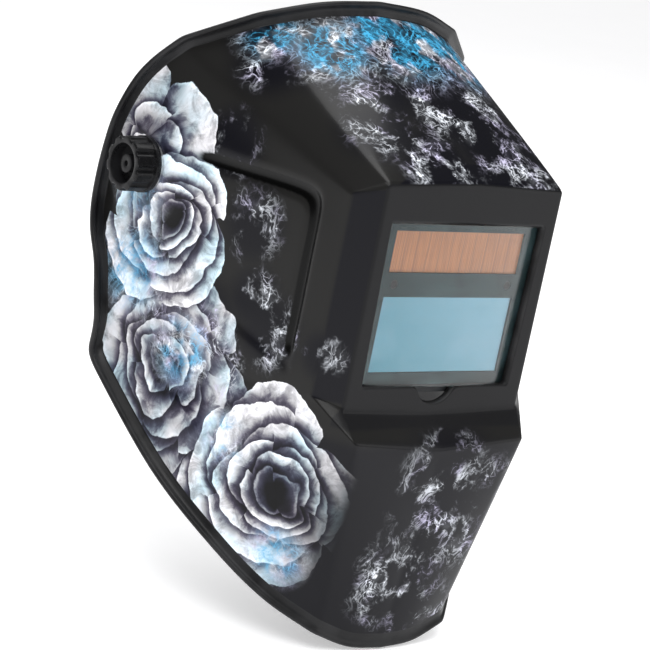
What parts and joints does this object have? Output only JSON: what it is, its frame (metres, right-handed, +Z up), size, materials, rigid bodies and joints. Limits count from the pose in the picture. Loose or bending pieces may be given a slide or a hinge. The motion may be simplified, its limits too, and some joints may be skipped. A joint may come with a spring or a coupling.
{
  "type": "welding helmet",
  "caption": "Full-face auto-darkening welding helmet: moulded shell with a window panel and filter cartridge, hinged on a ratchet headgear by two side knobs.",
  "frame": {"origin": "midway between the two head pivots, which is inside the wearer's head", "axes": "+Y to the back of the head (the window faces -Y), +Z up, +X to the wearer's left"},
  "size_m": [0.2498, 0.2814, 0.337],
  "materials": {
    "shell_skin": "satin black moulded nylon with a printed flower and smoke pattern under clear coat",
    "clear_lens": "clear polycarbonate",
    "frame_plastic": "fine moulded grain",
    "zinc_steel": "zinc plated",
    "spring_steel": "drawn spring wire",
    "cartridge_plastic": "fine moulded grain, teal grey",
    "filter_coating": "blue interference coating",
    "solar_film": "copper-brown amorphous silicon with fine lines",
    "sensor_lens": "dark polished",
    "circuit_laminate": "solder mask",
    "cell_steel": "nickel plated",
    "dial_plastic": "moulded",
    "slider_plastic": "moulded",
    "fibre_washer": "pressed fibre",
    "nylon_bush": "natural nylon",
    "knob_plastic": "satin moulded",
    "brass_insert": "turned",
    "rivet_nylon": "moulded",
    "band_plastic": "moulded polyethylene",
    "sweatband_cloth": "perforated brushed cloth over foam",
    "pad_cloth": "brushed knit over foam",
    "pinion_nylon": "natural nylon",
    "housing_plastic": "moulded",
    "ratchet_knob_plastic": "satin moulded"
  },
  "bodies": {
    "headgear": {"headband": "band_plastic", "left_crown_strap": "band_plastic", "right_crown_strap": "band_plastic", "strap_studs": "rivet_nylon", "sweatband": "sweatband_cloth", "nape_pad": "pad_cloth", "ratchet_inner": "housing_plastic", "ratchet_outer": "housing_plastic", "left_rail": "slider_plastic", "right_rail": "slider_plastic", "rail_rivets": "rivet_nylon"},
    "ratchet": {"ratchet_knob": "ratchet_knob_plastic", "pinion": "pinion_nylon", "ratchet_screw": "zinc_steel"},
    "left_rack_arm": {"left_rack": "band_plastic"},
    "right_rack_arm": {"right_rack": "band_plastic"},
    "carriers": {"left_slider": "slider_plastic", "right_slider": "slider_plastic", "left_pivot_bolt": "zinc_steel", "right_pivot_bolt": "zinc_steel", "left_tilt_plate": "slider_plastic", "right_tilt_plate": "slider_plastic", "left_friction_washer": "fibre_washer", "right_friction_washer": "fibre_washer", "left_outer_washer": "zinc_steel", "right_outer_washer": "zinc_steel"},
    "helmet": {"shell": "shell_skin", "front_cover_lens": "clear_lens", "inner_cover_lens": "clear_lens", "cartridge_frame": "frame_plastic", "frame_screws": "zinc_steel", "retaining_wires": "spring_steel", "cartridge_front": "cartridge_plastic", "cartridge_back": "cartridge_plastic", "filter_glass": "filter_coating", "solar_cell": "solar_film", "arc_sensors": "sensor_lens", "circuit_board": "circuit_laminate", "coin_cell": "cell_steel", "left_pivot_bush": "nylon_bush", "right_pivot_bush": "nylon_bush"},
    "left_knob": {"left_tension_knob": "knob_plastic", "left_knob_insert": "brass_insert"},
    "right_knob": {"right_tension_knob": "knob_plastic", "right_knob_insert": "brass_insert"},
    "shade": {"shade_dial": "dial_plastic"},
    "sensitivity": {"sensitivity_dial": "dial_plastic"},
    "delay": {"delay_dial": "dial_plastic"},
    "mode": {"mode_switch": "dial_plastic"},
    "battery_door": {"battery_cap": "dial_plastic"}
  },
  "joints": [
    {"name": "reach_slide", "type": "slide", "parent": "headgear", "child": "carriers", "axis": [0, 1, 0], "range_m": [-0.008, 0.008]},
    {"name": "shell_flip", "type": "hinge", "parent": "carriers", "child": "helmet", "pos_m": [0, 0, 0], "axis": [-1, 0, 0], "range_deg": [0, 85]},
    {"name": "left_knob_turn", "type": "hinge", "parent": "carriers", "child": "left_knob", "pos_m": [-0.116, 0, 0], "axis": [-1, 0, 0], "range_deg": [0, 360]},
    {"name": "right_knob_turn", "type": "hinge", "parent": "carriers", "child": "right_knob", "pos_m": [0.116, 0, 0], "axis": [1, 0, 0], "range_deg": [0, 360]},
    {"name": "ratchet_turn", "type": "hinge", "parent": "headgear", "child": "ratchet", "pos_m": [0, 0.09763, -0.02164], "axis": [0, 0.9763, -0.2164], "range_deg": [-80, 80]},
    {"name": "left_rack_slide", "type": "hinge", "parent": "headgear", "child": "left_rack_arm", "pos_m": [0, 0.01953, -0.00433], "axis": [0, 0.2164, 0.9763], "range_deg": [-5.77, 5.77]},
    {"name": "right_rack_slide", "type": "hinge", "parent": "headgear", "child": "right_rack_arm", "pos_m": [0, 0.01953, -0.00433], "axis": [0, 0.2164, 0.9763], "range_deg": [-5.77, 5.77]},
    {"name": "shade_turn", "type": "hinge", "parent": "helmet", "child": "shade", "pos_m": [-0.042, -0.13, -0.008], "axis": [0, 1, 0], "range_deg": [-135, 135]},
    {"name": "sensitivity_turn", "type": "hinge", "parent": "helmet", "child": "sensitivity", "pos_m": [-0.022, -0.13, -0.008], "axis": [0, 1, 0], "range_deg": [-135, 135]},
    {"name": "delay_turn", "type": "hinge", "parent": "helmet", "child": "delay", "pos_m": [-0.002, -0.13, -0.008], "axis": [0, 1, 0], "range_deg": [-135, 135]},
    {"name": "mode_slide", "type": "slide", "parent": "helmet", "child": "mode", "axis": [1, 0, 0], "range_m": [0, 0.004]},
    {"name": "battery_cap_turn", "type": "hinge", "parent": "helmet", "child": "battery_door", "pos_m": [0.036, -0.13, -0.009], "axis": [0, 1, 0], "range_deg": [0, 45]}
  ],
  "couplings": [
    {"joint": "left_rack_slide", "follows": "ratchet_turn", "ratio": -0.072115},
    {"joint": "right_rack_slide", "follows": "ratchet_turn", "ratio": 0.072115}
  ]
}
